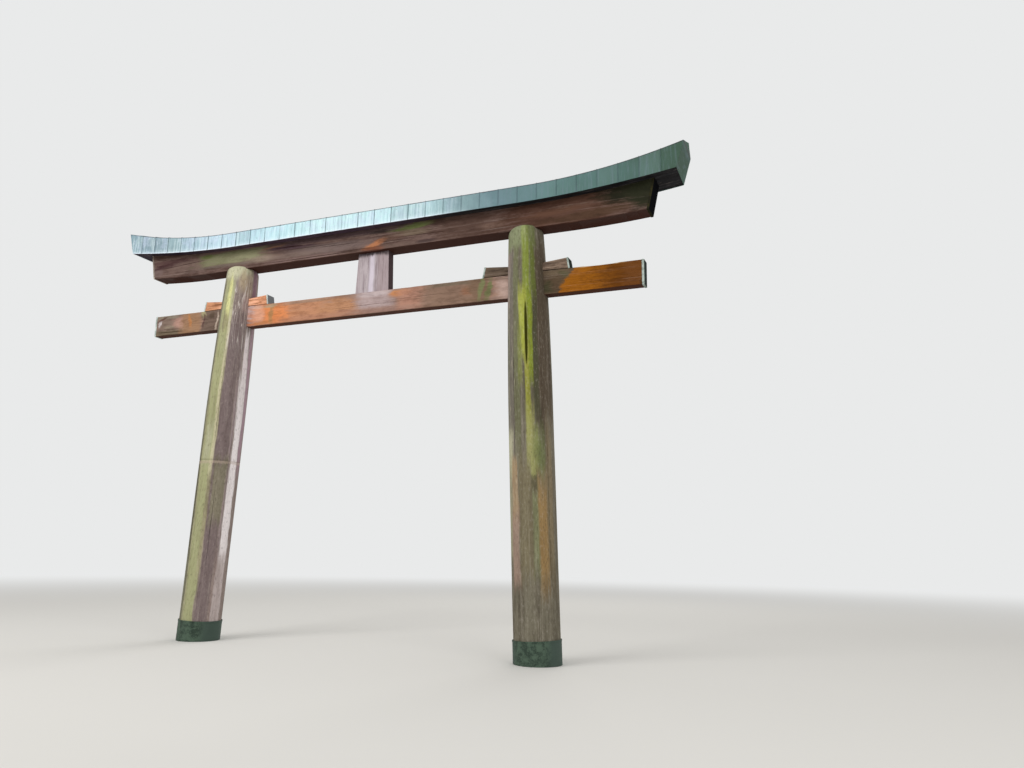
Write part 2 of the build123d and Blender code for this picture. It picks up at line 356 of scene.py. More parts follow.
class Recipe(NodeTree):
    """Node tree of one material, whose patterns lie on object coordinates."""

    def __init__(self, name: str) -> None:
        """Start a material.

        Args:
            name: Its name.
        """
        self.material = bpy.data.materials.new(name)
        super().__init__(self.material)
        self.place = Link(self.node("ShaderNodeTexCoord").outputs["Object"])
        self.x, self.y, self.z = self.parts(self.place)

    def figure(self, place: Link, grain: Grain) -> Figure:
        """Make a timber's figure: long fibres, fine ones, short blotches and specks.

        Args:
            place: The place on the timber.
            grain: The way that its fibres run.

        Returns:
            The figure.
        """
        along = self.scaled(place, grain.fibre_scale)
        short = self.scaled(place, grain.blotch_scale)
        return Figure(
            fibres=self.noise(along, scale=1.3, detail=8.0, roughness=0.7),
            fine=self.noise(along, scale=4.5, detail=4.0, roughness=0.7),
            blotch=self.noise(short, scale=1.4, detail=7.0, roughness=0.68),
            speck=self.noise(short, scale=9.0, detail=3.0, roughness=0.6),
        )

    def wash(
        self, base: Colour, code: str, value: Value, span: tuple[float, float], strength: Number = 1.0
    ) -> Link:
        """Lay a colour over another where a value goes from one number to another.

        Args:
            base: The colour so far.
            code: The colour that is laid on.
            value: What tells where it lies.
            span: Where the wash begins, and where it is full.
            strength: Its share where it is full.

        Returns:
            The washed colour.
        """
        return self.mix(base, tint(code), self.smooth(value, *span) * strength)

    def silvered(self, figure: Figure, shade: str, light: str) -> Link:
        """Colour of bare timber, from its shade to its light."""
        return self.wash(tint(shade), light, figure.fibres + figure.blotch, (0.85, 1.15))

    def wear(self, colour: Colour, figure: Figure, wear: Wear) -> Link:
        """Darken the hollows of a timber's figure and bleach its ridges.

        Args:
            colour: The colour so far.
            figure: The timber's figure.
            wear: Colours and strengths.

        Returns:
            The worn colour.
        """
        uneven = figure.blotch * 0.8 + figure.speck * 0.2
        shadow = self.smooth(uneven, 0.56, 0.36) * wear.depth
        colour = self.mix(colour, tint(wear.shadow), shadow, Blend.DARKEN)
        hollow = figure.fine * 0.8 + figure.speck * 0.2
        colour = self.wash(colour, wear.crevice, hollow, (0.46, 0.3), wear.depth * 0.6)
        ridge = figure.fibres * 0.5 + figure.fine * 0.4 + figure.speck * 0.1
        return self.wash(colour, wear.dust, ridge, (0.53, 0.66), wear.dusting)

    def scratches(self, place: Link) -> Value:
        """1 on thin lines that run up a log, and 0 between them."""
        wander = self.noise(self.scaled(place, (30.0, 30.0, 1.3)), scale=1.0, detail=1.0, roughness=0.4)
        return self.smooth(abs(wander - 0.5), 0.03, 0.008)

    def mask(self, surface: Link, mark: Stain, edge: Value) -> Value:
        """Tell where a stain lies.

        Args:
            surface: The map that the stain is placed on.
            mark: The stain.
            edge: Noise about 0 that frays its edge.

        Returns:
            1 inside the stain and 0 outside it.
        """
        inputs = {
            "Vector": surface,
            "Location": (mark.x, 0.0, mark.z),
            "Rotation": (0.0, -math.radians(mark.turn), 0.0),
            "Scale": (mark.half_x, 1.0, mark.half_z),
        }
        near = Link(self.node("ShaderNodeMapping", {"vector_type": "TEXTURE"}, inputs).outputs[0])
        distance = mark.distance(self, near) + edge * mark.ragged
        return self.smooth(distance, 1 + mark.soft, 1 - mark.soft)

    def stain(self, base: Colour, surface: Link, mark: Stain, edge: Value) -> Link:
        """Lay one stain over a colour, its outline frayed by a noise about 0."""
        return self.mix(base, tint(mark.colour), self.mask(surface, mark, edge) * mark.strength)

    def facing(self, axis: str) -> Value:
        """One part of the direction that the surface faces."""
        normal = Link(self.node("ShaderNodeNewGeometry").outputs["Normal"])
        return self.parts(normal)["XYZ".index(axis)]

    def bump(self, height: Value, distance: float) -> Link:
        """Normal of a relief of that depth in metres."""
        inputs = {"Strength": 1.0, "Distance": distance, "Height": height}
        return Link(self.node("ShaderNodeBump", inputs=inputs).outputs[0])

    def finish(self, colour: Colour, roughness: Number, normal: Link, **constants: Any) -> Material:
        """Close the tree with its shader.

        Args:
            colour: The base colour.
            roughness: The roughness, plain or varying.
            normal: The normal.
            constants: Other sockets of the shader, with spaces written as underscores.

        Returns:
            The finished material.
        """
        inputs = {"Base Color": colour, "Roughness": roughness, "Normal": normal}
        inputs.update({name.replace("_", " "): value for name, value in constants.items()})
        shader = self.node("ShaderNodeBsdfPrincipled", inputs=inputs)
        self.node("ShaderNodeOutputMaterial", inputs={"Surface": Link(shader.outputs[0])})
        return self.material


# Finishes


@dataclass(frozen=True)
class Bow:
    """A line that is straight up to a bend on each side and then leaves the straight on an arc."""

    level: float
    bend: float
    radius: float

    def offset(self, distance: float) -> float:
        """How far the line has left the straight at a distance from its middle."""
        run = max(abs(distance) - self.bend, 0.0)
        return self.radius - math.sqrt(self.radius**2 - run**2)

    def shaded(self, recipe: Recipe, distance: Value) -> Value:
        """The same offset as a shader expression."""
        run = recipe.maths("MAXIMUM", abs(distance) - self.bend, 0.0)
        return self.radius - recipe.maths("SQRT", self.radius**2 - run * run)


# The copper's lower and upper edge along the roof, and the logs' radius up their axis
HEM = Bow(level=6.670, bend=2.6, radius=18.0)
EAVES = Bow(level=6.920, bend=2.8, radius=9.5)
LOG = Bow(level=0.336, bend=3.4, radius=71.083)


@dataclass(frozen=True)
class Timber:
    """Squared timber, silvered and stained by the weather, with painted shade on the faces that look down and
    on its flanks.
    """

    name: str
    shade: str
    light: str
    # Painted shade, washed over the faces that look down and over the faces that look along X
    painted_under_shade: str = ""
    painted_flank_shade: str = ""
    wear: Wear = Wear()
    grain: Grain = Grain.LEVEL
    stains: tuple[Stain, ...] = ()
    relief: float = 0.004

    def make(self) -> Material:
        """Write the material.

        Returns:
            The finished material.
        """
        recipe = Recipe(self.name)
        figure = recipe.figure(recipe.place, self.grain)
        drift = recipe.noise(recipe.place, scale=1.6, detail=4.0, roughness=0.65) - 0.5
        along, up = self.grain.warp
        surface = recipe.vector(recipe.x + drift * along, 0.0, recipe.z + (figure.blotch - 0.5) * up)
        edge = (figure.fibres - 0.5) * 1.4 + (figure.blotch - 0.5) * 2.4 + (figure.fine - 0.5) * 1.2
        colour = recipe.silvered(figure, self.shade, self.light)
        for mark in self.stains:
            colour = recipe.stain(colour, surface, mark, edge)
        colour = recipe.wear(colour, figure, self.wear)
        # Painted shade on the faces that look down, and on the flanks where a colour is given
        if self.painted_under_shade:
            colour = recipe.wash(colour, self.painted_under_shade, recipe.facing("Z"), DOWNWARD, 0.95)
        if self.painted_flank_shade:
            colour = recipe.wash(colour, self.painted_flank_shade, abs(recipe.facing("X")), SIDEWAYS)
        height = figure.fibres + figure.fine * 0.5 + figure.blotch * 0.3
        bump = recipe.bump(height, self.relief)
        return recipe.finish(colour, 0.72 + figure.fibres * 0.25, bump, Specular_IOR_Level=WOOD_SHEEN)


@dataclass(frozen=True)
class Log:
    """Round timber whose strips of colour follow its leaning axis."""

    side: Side
    shade: str
    light: str
    # Colour inside the drying checks: painted shade in them, partly the darker wood there
    inside: str
    stains: tuple[Stain, ...]
    scratched: Stain
    joint: float | None = None
    joint_line: str = "b5a291"
    dark_grit: str = "463c35"
    pale_grit: str = "c9c1b6"
    wear: Wear = Wear(crevice="3d3027", dust="cfc4b6", dusting=0.22, depth=0.32)
    relief: float = 0.007
    head: tuple[float, float] = (6.05, 5.95)
    opened: tuple[float, float] = (0.018, 0.034)

    def make(self) -> Material:
        """Write the material.

        Returns:
            The finished material.
        """
        recipe = Recipe(f"{self.side.word}_post_timber")
        across = recipe.x - self.side.foot + recipe.z * (self.side.value * math.tan(LEAN))
        place = recipe.vector(across, recipe.y, recipe.z)
        figure = recipe.figure(place, Grain.ROUND_LOG)
        slow = recipe.scaled(place, (1.0, 1.0, 0.5))
        drift = recipe.noise(slow, scale=2.5, detail=3.0, roughness=0.6) - 0.5
        wander = drift * 12.0 + (figure.blotch - 0.5) * 10.0
        angle = recipe.maths("ARCTAN2", across, recipe.y * -1.0) * (180 / math.pi)
        surface = recipe.vector(angle + wander, 0.0, recipe.z + drift * 0.5)
        edge = (figure.fibres - 0.5) * 1.6 + (figure.blotch - 0.5) * 1.6 + (figure.speck - 0.5) * 0.6
        colour = recipe.silvered(figure, self.shade, self.light)
        for mark in self.stains:
            colour = recipe.stain(colour, surface, mark, edge)
        colour = recipe.wear(colour, figure, self.wear)
        colour = self.roughened(recipe, place, figure, colour)
        scratched = recipe.mask(surface, self.scratched, edge) * recipe.scratches(place)
        colour = recipe.mix(colour, tint(self.scratched.colour), scratched * self.scratched.strength)
        # Below the head, surfaces deeper than the log's rim (inside the checks) get painted shade, partly the
        # darker wood there
        rim = LOG.level - LOG.shaded(recipe, recipe.z)
        depth = rim - recipe.maths("SQRT", across * across + recipe.y * recipe.y)
        below_head = recipe.smooth(recipe.z, *self.head)
        colour = recipe.wash(colour, self.inside, depth, self.opened, below_head)
        height = figure.fibres + figure.fine * 0.5 + figure.blotch * 0.4
        bump = recipe.bump(height, self.relief)
        return recipe.finish(colour, 0.75 + figure.fibres * 0.2, bump, Specular_IOR_Level=WOOD_SHEEN)

    def roughened(self, recipe: Recipe, place: Link, figure: Figure, colour: Link) -> Link:
        """Strew grit over the log, and draw the pale line below its joint.

        Args:
            recipe: The log's recipe.
            place: The place on the log, with its lean taken off.
            figure: The log's figure.
            colour: The colour so far.

        Returns:
            The roughened colour.
        """
        grit = recipe.noise(recipe.scaled(place, (40.0, 40.0, 16.0)), scale=1.0, detail=4.0, roughness=0.65)
        colour = recipe.wash(colour, self.dark_grit, grit, (0.47, 0.34), 0.36)
        colour = recipe.wash(colour, self.pale_grit, grit, (0.54, 0.68), 0.15)
        if self.joint is None:
            return colour
        below = abs(recipe.z - self.joint + 0.03 + (figure.speck - 0.5) * 0.05)
        return recipe.wash(colour, self.joint_line, below, (0.035, 0.012), 0.42)


@dataclass(frozen=True)
class Copper:
    """Aged copper sheet, pale where it faces the sky and darker towards one end, where it is painted shade of
    the trees over that end; its pale drips, bloom, hem highlights and seam shadows fade in that painted
    shade.
    """

    name: str
    stops: tuple[tuple[float, str], ...]
    bloom: str = "c4cfe6"
    dull_pan: str = "8fa9a6"
    dark_drip: str = "6f7f8b"
    pale_drip: str = "e2f2f3"
    pit: str = "4a5f62"
    # Painted highlights along the hem: a soft glow above it and a sharp line at its edge
    painted_hem_glow: str = "e2f2f6"
    painted_hem_highlight: str = "dbe6f2"
    # Painted shadow under the lip of the eaves
    painted_eaves_shadow: str = "4d4a50"
    # The dark joint of each seam, with painted shadow beside it
    seam_joint_and_shadow: str = "4a5c66"
    # Along X: where the painted shade of the trees over the right end is full, and where none is left of it
    painted_shade_onset: tuple[float, float] = (5.0, 3.8)

    def along(self, recipe: Recipe) -> Link:
        """Make the colour that changes slowly along the roof.

        Args:
            recipe: The copper's recipe.

        Returns:
            The colour.
        """
        low, high = self.stops[0][0], self.stops[-1][0]
        stops = [((x - low) / (high - low), tint(code)) for x, code in self.stops]
        wander = recipe.noise(recipe.place, scale=1.5, detail=4.0, roughness=0.6) - 0.5
        share = (recipe.x + wander * 1.6 - low) / (high - low)
        return Link(recipe.node("ShaderNodeValToRGB", {"stops": stops}, {0: share}).outputs[0])

    def make(self) -> Material:
        """Write the material.

        Returns:
            The finished material.
        """
        recipe = Recipe(self.name)
        count = (recipe.x - MIDDLE) / SEAM_SPACING + 0.5
        pan = recipe.maths("FLOOR", count)
        white = recipe.node("ShaderNodeTexWhiteNoise", {"noise_dimensions": "1D"}, {"W": pan})
        tone = Value(recipe, white.outputs["Value"])
        hanging = recipe.scaled(recipe.place, (24.0, 2.0, 1.6))
        drip = recipe.noise(hanging, scale=1.3, detail=4.0, roughness=0.62)
        cloud = recipe.noise(recipe.place, scale=5.0, detail=6.0, roughness=0.7)
        speck = recipe.noise(recipe.place, scale=26.0, detail=4.0, roughness=0.65)
        # 1 out of the painted shade of the trees over the right end, and 0 inside it
        unshaded = recipe.smooth(recipe.x, *self.painted_shade_onset)
        colour = recipe.wash(self.along(recipe), self.bloom, cloud, (0.46, 0.62), unshaded * 0.4)
        colour = recipe.wash(colour, self.dull_pan, tone, (0.55, 0.95), unshaded * 0.18 + 0.12)
        colour = recipe.wash(colour, self.dark_drip, drip, (0.5, 0.64), 0.3)
        colour = recipe.wash(colour, self.pale_drip, drip, (0.5, 0.38), unshaded * 0.3)
        colour = recipe.wash(colour, self.pit, speck, (0.42, 0.3), 0.35)
        distance = recipe.x - MIDDLE
        above_hem = recipe.z - HEM.level - HEM.shaded(recipe, distance)
        # Painted highlight along the hem: a soft glow above it and a sharp line at its edge, only out of the
        # painted shade
        colour = recipe.wash(colour, self.painted_hem_glow, above_hem, (0.08, 0.0), unshaded * 0.25)
        colour = recipe.wash(colour, self.painted_hem_highlight, above_hem, (0.012, -0.006), unshaded * 0.7)
        # Painted shadow under the lip of the eaves
        near_eaves = abs(recipe.z - EAVES.level - EAVES.shaded(recipe, distance)) + (drip - 0.5) * 0.03
        colour = recipe.wash(colour, self.painted_eaves_shadow, near_eaves, (0.014, 0.004), 0.8)
        # The dark joint of each seam with painted shadow beside it, whose strength varies at random (worn)
        # and fades in the painted shade at the right end
        across = count - pan
        near_seam = recipe.maths("MINIMUM", across, 1 - across) * SEAM_SPACING + (drip - 0.5) * 0.02
        worn = recipe.smooth(drip + tone * 0.2, 0.45, 0.65) * 0.5 + 0.15
        colour = recipe.wash(colour, self.seam_joint_and_shadow, near_seam, (0.014, 0.006), worn * (unshaded * 0.6 + 0.4))
        bump = recipe.bump(cloud + drip * 0.4 + speck * 0.2, 0.008)
        return recipe.finish(colour, 0.62 + cloud * 0.2, bump, Metallic=0.1, Specular_IOR_Level=0.3)


@dataclass(frozen=True)
class Sheet:
    """Thin dull metal with a mottled skin, with painted shade on the faces that look along the beams."""

    name: str
    shade: str
    light: str
    # Colour of the faces that look along X: painted shade on the end faces
    ends: str
    metallic: float = 0.1
    gloss: float = 0.2

    def make(self) -> Material:
        """Write the material.

        Returns:
            The finished material.
        """
        recipe = Recipe(self.name)
        cloud = recipe.noise(recipe.place, scale=9.0, detail=5.0, roughness=0.65)
        speck = recipe.noise(recipe.place, scale=60.0, detail=3.0, roughness=0.6)
        colour = recipe.wash(tint(self.shade), self.light, cloud * 0.7 + speck * 0.3, (0.4, 0.6))
        # Painted shade on the end faces
        colour = recipe.wash(colour, self.ends, abs(recipe.facing("X")), SIDEWAYS, cloud * 0.3 + 0.75)
        sheen = {"Metallic": self.metallic, "Specular_IOR_Level": self.gloss}
        return recipe.finish(colour, 0.5 + cloud * 0.3, recipe.bump(cloud, 0.003), **sheen)


# Studio and camera


@dataclass(frozen=True)
class Viewpoint:
    """Camera at the photograph's viewing angle, in the row frame."""

    place: Point = (9.78063, -10.73649, 1.51007)
    heading: float = -0.38303
    pitch: float = 0.2057
    roll: float = 0.0167
    lens: float = 28.019
    reach: float = 500.0

    def build(self) -> None:
        """Put the camera up and make it the scene's own."""
        camera = bpy.data.objects.new("camera", bpy.data.cameras.new("camera"))
        camera.data.lens = self.lens
        camera.data.clip_end = self.reach
        turn = Matrix.Rotation(-self.heading, 4, "Z") @ Matrix.Rotation(math.pi / 2 + self.pitch, 4, "X")
        camera.matrix_world = Matrix.Translation(self.place) @ turn @ Matrix.Rotation(self.roll, 4, "Z")
        bpy.context.scene.collection.objects.link(camera)
        bpy.context.scene.camera = camera


@dataclass(frozen=True)
class Lamp:
    """One soft area lamp, aimed at a point."""

    name: str
    place: Point
    aim: Point
    size: float
    power: float

    def build(self) -> None:
        """Hang the lamp."""
        data = bpy.data.lights.new(self.name, "AREA")
        data.size = self.size
        data.energy = self.power
        lamp = bpy.data.objects.new(self.name, data)
        lamp.location = self.place
        lamp.rotation_euler = (Vector(self.aim) - Vector(self.place)).to_track_quat("-Z", "Y").to_euler()
        bpy.context.scene.collection.objects.link(lamp)


@dataclass(frozen=True)
class Studio:
    """Pale floor that fades into a pale backdrop, with soft light from above and in front."""

    floor_size: float = 400.0
    floor_level: float = -0.002
    fade: tuple[float, float] = (10.0, 34.0)
    backdrop: str = "e9eaea"
    ground: str = "cfcdc8"
    sky_strength: float = 0.72
    lamps: tuple[Lamp, ...] = (
        Lamp("key", place=(-3.0, -13.0, 14.0), aim=(2.9, 0.0, 4.5), size=9.0, power=1500.0),
        Lamp("fill", place=(16.0, -9.0, 9.0), aim=(2.9, 0.0, 4.0), size=8.0, power=420.0),
        Lamp("back", place=(3.0, 14.0, 13.0), aim=(2.9, 0.0, 4.5), size=9.0, power=700.0),
    )

    def build(self) -> None:
        """Lay the floor, set the world and hang the lamps."""
        bpy.context.scene.view_settings.view_transform = "Standard"
        self.lay_floor()
        self.set_world()
        for lamp in self.lamps:
            lamp.build()

    def lay_floor(self) -> None:
        """Lay the floor with a material that turns into the backdrop far away."""
        bpy.ops.mesh.primitive_plane_add(size=self.floor_size, location=(MIDDLE, 0.0, self.floor_level))
        floor = bpy.context.object
        floor.name = "floor"
        recipe = Recipe("floor")
        far = recipe.smooth(recipe.length(recipe.place), *self.fade)
        ground = recipe.node("ShaderNodeBsdfDiffuse", inputs={"Color": tint(self.ground)})
        glow = recipe.node("ShaderNodeEmission", inputs={"Color": tint(self.backdrop), "Strength": 1.0})
        inputs = {0: far * self.seen_directly(recipe), 1: Link(ground.outputs[0]), 2: Link(glow.outputs[0])}
        blend = recipe.node("ShaderNodeMixShader", inputs=inputs)
        recipe.node("ShaderNodeOutputMaterial", inputs={"Surface": Link(blend.outputs[0])})
        floor.data.materials.append(recipe.material)

    @staticmethod
    def seen_directly(tree: NodeTree) -> Value:
        """Tell the camera and reflections from light that falls on the gateway.

        Args:
            tree: The tree that asks.

        Returns:
            1 for the camera and for reflections, and 0 for that light.
        """
        path = tree.node("ShaderNodeLightPath")
        names = ("Is Camera Ray", "Is Glossy Ray", "Is Transmission Ray")
        camera, glossy, through = (Value(tree, path.outputs[name]) for name in names)
        return tree.maths("MINIMUM", camera + glossy + through, 1.0)

    def set_world(self) -> None:
        """Light everything evenly from a world that the camera sees as the backdrop."""
        bpy.context.scene.world = bpy.data.worlds.new("world")
        tree = NodeTree(bpy.context.scene.world)
        sky = tree.node("ShaderNodeBackground", inputs={"Color": (1, 1, 1, 1), "Strength": self.sky_strength})
        view = tree.node("ShaderNodeBackground", inputs={"Color": tint(self.backdrop), "Strength": 1.0})
        inputs = {0: self.seen_directly(tree), 1: Link(sky.outputs[0]), 2: Link(view.outputs[0])}
        blend = tree.node("ShaderNodeMixShader", inputs=inputs)
        tree.node("ShaderNodeOutputWorld", inputs={"Surface": Link(blend.outputs[0])})


# Modelling steps


class Part(Enum):
    """What is selected of a mesh: the mesh's own list of it, and the matching mode."""

    CORNERS = ("verts", "VERT")
    EDGES = ("edges", "EDGE")
    FACES = ("faces", "FACE")


class Cut(Enum):
    """What a tool's mesh does to a piece."""

    TAKE_AWAY = "DIFFERENCE"
    KEEP_SHARED = "INTERSECT"


@dataclass(frozen=True)
class Blade:
    """A lens-shaped tool that opens a drying check or scoops a worn hollow."""

    at: Point
    half: Point
    turn: Point = (0.0, 0.0, 0.0)

    def build(self) -> Piece:
        """Model the tool.

        Returns:
            The tool, at its place.
        """
        bpy.ops.mesh.primitive_uv_sphere_add(
            segments=12, ring_count=10, radius=1.0, location=self.at, rotation=self.turn, scale=self.half
        )
        return adopt("blade")


def alone(piece: Piece) -> None:
    """Select one object only and make it active.

    Args:
        piece: The object.
    """
    bpy.ops.object.select_all(action="DESELECT")
    piece.select_set(True)
    bpy.context.view_layer.objects.active = piece


def settle(piece: Piece) -> None:
    """Put a piece's place, turn and size into its mesh."""
    alone(piece)
    bpy.ops.object.transform_apply(location=True, rotation=True, scale=True)


def adopt(name: str) -> Piece:
    """Name the newest primitive and settle it.

    Args:
        name: Its name.

    Returns:
        The primitive.
    """
    piece = bpy.context.object
    piece.name = name
    settle(piece)
    return piece


def twin(piece: Piece, name: str) -> Piece:
    """Copy a piece, with a mesh of its own.

    Args:
        piece: The piece.
        name: Name of the copy.

    Returns:
        The copy.
    """
    copy = piece.copy()
    copy.data = piece.data.copy()
    copy.name = name
    bpy.context.scene.collection.objects.link(copy)
    return copy


def pick(piece: Piece, part: Part, test: Callable[[Any], bool]) -> None:
    """Select the corners, edges or faces of a mesh in edit mode that pass a test.

    Args:
        piece: The piece, in edit mode.
        part: Which of these.
        test: Says of each one whether it is selected.
    """
    elements, mode = part.value
    bpy.ops.mesh.select_mode(type=mode)
    bpy.ops.mesh.select_all(action="DESELECT")
    mesh = bmesh.from_edit_mesh(piece.data)
    for element in getattr(mesh, elements):
        if test(element):
            element.select_set(True)
    mesh.select_flush_mode()
    bmesh.update_edit_mesh(piece.data)


def copy_of(node: str, name: str) -> Piece:
    """Copy a CAD node into a closed piece of its own.

    Args:
        node: The CAD node.
        name: Name of the copy.

    Returns:
        The copy, with its corners merged and its flat faces whole.
    """
    piece = bpy.data.objects.new(name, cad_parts[node].data.copy())
    bpy.context.scene.collection.objects.link(piece)
    alone(piece)
    bpy.ops.object.mode_set(mode="EDIT")
    bpy.ops.mesh.select_all(action="SELECT")
    bpy.ops.mesh.remove_doubles(threshold=1e-5)
    bpy.ops.mesh.dissolve_limited(angle_limit=math.radians(0.05))
    bpy.ops.object.mode_set(mode="OBJECT")
    return piece


def join(pieces: Sequence[Piece], name: str) -> Piece:
    """Join several pieces into one.

    Args:
        pieces: The pieces.
        name: Name of the joined piece.

    Returns:
        The joined piece.
    """
    alone(pieces[0])
    for piece in pieces:
        piece.select_set(True)
    bpy.ops.object.join()
    joined = bpy.context.object
    joined.name = name
    return joined


def cut(piece: Piece, tool: Piece, action: Cut) -> None:
    """Work one mesh with another, which is used up.

    Args:
        piece: The piece that is worked.
        tool: The other mesh.
        action: What the tool does to the piece.
    """
    modifier = piece.modifiers.new("cut", "BOOLEAN")
    modifier.object = tool
    modifier.operation = action.value
    modifier.solver = "EXACT"
    alone(piece)
    bpy.ops.object.modifier_apply(modifier=modifier.name)
    bpy.data.objects.remove(tool)
    if not piece.data.polygons:
        raise RuntimeError(f"nothing is left of {piece.name}")


def carve(piece: Piece, blades: Sequence[Blade]) -> None:
    """Take several blades out of a piece, one after the other."""
    for blade in blades:
        cut(piece, blade.build(), Cut.TAKE_AWAY)


def weather(piece: Piece, stretch: Point, depth: float, seed_shift: float) -> None:
    """Sink a surface unevenly, by no more than a depth.

    Args:
        piece: The piece.
        stretch: Sizes of the unevenness along the three axes, in metres.
        depth: The deepest that it sinks.
        seed_shift: Place of the pattern along Z, so that two pieces differ.
    """
    texture = bpy.data.textures.new("unevenness", "CLOUDS")
    texture.noise_scale = 1.0
    bpy.ops.object.empty_add(location=(0.0, 0.0, seed_shift))
    guide = bpy.context.object
    guide.scale = stretch
    modifier = piece.modifiers.new("weather", "DISPLACE")
    modifier.texture = texture
    modifier.texture_coords = "OBJECT"
    modifier.texture_coords_object = guide
    modifier.strength = depth
    modifier.mid_level = 1.0
    alone(piece)
    bpy.ops.object.modifier_apply(modifier=modifier.name)
    bpy.data.objects.remove(guide)


def deliver(
    piece: Piece,
    material: Material,
    replaced: Sequence[str] = (),
    angle: float = 35.0,
) -> None:
    """Dress a finished piece and let it ride.

    Args:
        piece: The finished piece.
        material: Its finish.
        replaced: CAD nodes that it stands for.
        angle: Degrees up to which an edge is shaded smooth.
    """
    piece.data.materials.clear()
    piece.data.materials.append(material)
    alone(piece)
    bpy.ops.object.shade_smooth_by_angle(angle=math.radians(angle))
    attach(piece, BODY)
    if replaced:
        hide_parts(*replaced)
    logger.info("%s: %d faces", piece.name, len(piece.data.polygons))


def dress(names: Iterable[str], material: Material) -> None:
    """Give CAD nodes a material, with their shapes as they are.

    Args:
        names: The nodes.
        material: Their finish.
    """
    for name in names:
        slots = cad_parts[name].data.materials
        slots.clear()
        slots.append(material)


# Palettes of this gateway's own finishes

LEFT_POST = Log(
    side=Side.LEFT,
    shade="7b6d67",
    light="8f817a",
    inside="2a1f1a",
    scratched=Band(44, 5.4, 30, 0.6, "dcd3cb", 0.6, 0.3, 0.5),
    joint=2.9,
    stains=(
        Band(-44, 3.2, 29, 4.0, "6f7059", 0.85, 0.35, 0.5),
        Band(0, 3.0, 20, 3.15, "a3a47a", 0.95, 0.1, 0.2),
        Band(-2, 3.2, 12, 0.3, "b1b092", 0.7, 0.5, 0.4),
        Band(-20, 3.0, 5, 3.15, "a3a07c", 0.8, 0.3, 0.3),
        Band(18, 4.15, 5, 1.55, "c6bf9e", 0.8, 0.3, 0.3),
        Band(-36, 2.2, 12, 0.85, "56523d", 0.8, 0.35, 0.5),
        Band(19, 2.35, 6, 0.35, "857c64", 0.8, 0.4),
        Band(18, 1.5, 6, 0.5, "a79e80", 0.7, 0.4),
        Band(42, 2.7, 18, 2.8, "7c6d6c", 0.92, 0.15, 0.25),
        Band(66, 2.9, 4, 1.5, "a08f90", 0.8, 0.4, 0.4),
        # These two pale bands on the side that looks towards +X are pale weathered wood, brightened as
        # painted light on that side
        Band(84, 2.35, 14.5, 2.3, "f6eeee", 0.95, 0.22, 0.9),
        Band(83, 4.78, 7, 0.36, "eadfdf", 0.9, 0.3, 0.4),
        Band(66, 4.85, 6, 0.4, "7a6a69", 0.8, 0.4, 0.4),
        Band(62, 5.6, 12, 0.16, "a48f8a", 0.8, 0.4, 0.5),
        Band(106, 4.0, 10, 1.3, "a08790", 0.9, 0.2, 0.3),
        Band(80, 0.7, 20, 0.6, "a3908a", 0.7, 0.4, 0.5),
        Band(20, 6.3, 56, 0.24, "c4c2a2", 0.9, 0.35, 0.5),
        Band(66, 5.95, 14, 0.22, "a1907f", 0.8, 0.35, 0.5),
        Band(96, 6.0, 12, 0.5, "866a75", 0.9, 0.35, 0.3),
        Stain(4, 5.68, 8, 0.42, "d6d595", 0.9, 0.4, 0.3),
        Stain(0, 5.34, 10, 0.13, "8b8468", 0.8, 0.5, 0.4),
        Band(48, 2.4, 18, 0.5, "858068", 0.75, 0.3),
        Stain(46, 6.0, 14, 0.2, "b3a184", 0.7),
        Band(152, 2.3, 15, 2.2, "9a9878", 0.75, 0.4),
        Band(130, 4.9, 9, 1.2, "a1938c", 0.75, 0.4),
        Band(-155, 4.3, 13, 1.9, "8d8c69", 0.75, 0.4),
        Band(-128, 1.8, 12, 1.5, "aca197", 0.7, 0.4),
        Band(-108, 4.9, 9, 1.1, "67594f", 0.75, 0.4),
    ),
)

